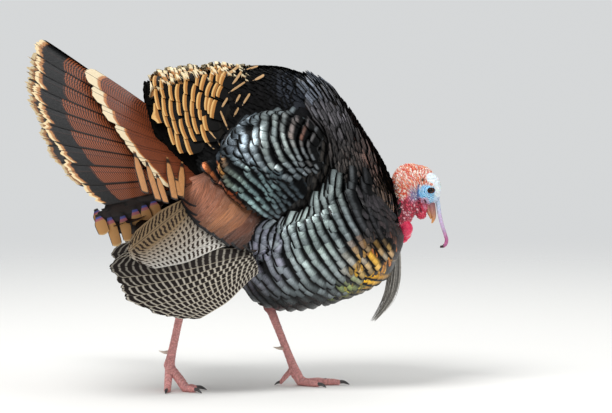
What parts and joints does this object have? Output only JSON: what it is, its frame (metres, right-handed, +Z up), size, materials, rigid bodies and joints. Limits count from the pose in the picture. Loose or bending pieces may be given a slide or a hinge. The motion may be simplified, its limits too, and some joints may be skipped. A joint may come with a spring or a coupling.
{
  "type": "wild turkey",
  "caption": "Life-size still model of a strutting wild turkey tom in mid-stride, with raised cape, fanned tail, drooped wings, snood and beard.",
  "frame": {"origin": "centre of the bounding box on the plane the feet stand on", "axes": "+X forward, from tail to head; +Y to the bird's left; +Z up"},
  "size_m": [0.8942, 0.7748, 0.7253],
  "materials": {
    "bronze_plumage": "satin",
    "black_plumage": "satin",
    "tan_tipped_plumage": "matte",
    "dark_down": "matte",
    "copper_plumage": "satin",
    "barred_quills": "matte",
    "chestnut_quills": "matte",
    "head_skin": "satin",
    "red_skin": "satin",
    "snood_skin": "satin",
    "eye": "glossy",
    "bill_horn": "satin",
    "bristle": "matte",
    "leg_scale": "satin",
    "claw_horn": "satin"
  },
  "bodies": {
    "root": {"breast": "bronze_plumage", "scapulars_left": "bronze_plumage", "scapulars_right": "bronze_plumage", "mantle": "black_plumage", "back": "black_plumage", "rump": "tan_tipped_plumage", "undertail": "tan_tipped_plumage", "belly": "dark_down", "thigh_left": "dark_down", "thigh_right": "dark_down", "wing_coverts_left": "copper_plumage", "wing_coverts_right": "copper_plumage", "wing_secondaries_left": "barred_quills", "wing_secondaries_right": "barred_quills", "wing_primaries_left": "barred_quills", "wing_primaries_right": "barred_quills", "tail_left": "chestnut_quills", "tail_right": "chestnut_quills", "tail_coverts_left": "chestnut_quills", "tail_coverts_right": "chestnut_quills", "head": "head_skin", "neck": "red_skin", "wattles": "red_skin", "snood": "snood_skin", "eye_left": "eye", "eye_right": "eye", "bill_upper": "bill_horn", "bill_lower": "bill_horn", "beard": "bristle", "shank_left": "leg_scale", "shank_right": "leg_scale", "toe_inner_left": "leg_scale", "toe_middle_left": "leg_scale", "toe_outer_left": "leg_scale", "toe_hind_left": "leg_scale", "toe_inner_right": "leg_scale", "toe_middle_right": "leg_scale", "toe_outer_right": "leg_scale", "toe_hind_right": "leg_scale", "spur_left": "claw_horn", "spur_right": "claw_horn", "claw_inner_left": "claw_horn", "claw_middle_left": "claw_horn", "claw_outer_left": "claw_horn", "claw_hind_left": "claw_horn", "claw_inner_right": "claw_horn", "claw_middle_right": "claw_horn", "claw_outer_right": "claw_horn", "claw_hind_right": "claw_horn"}
  },
  "joints": []
}
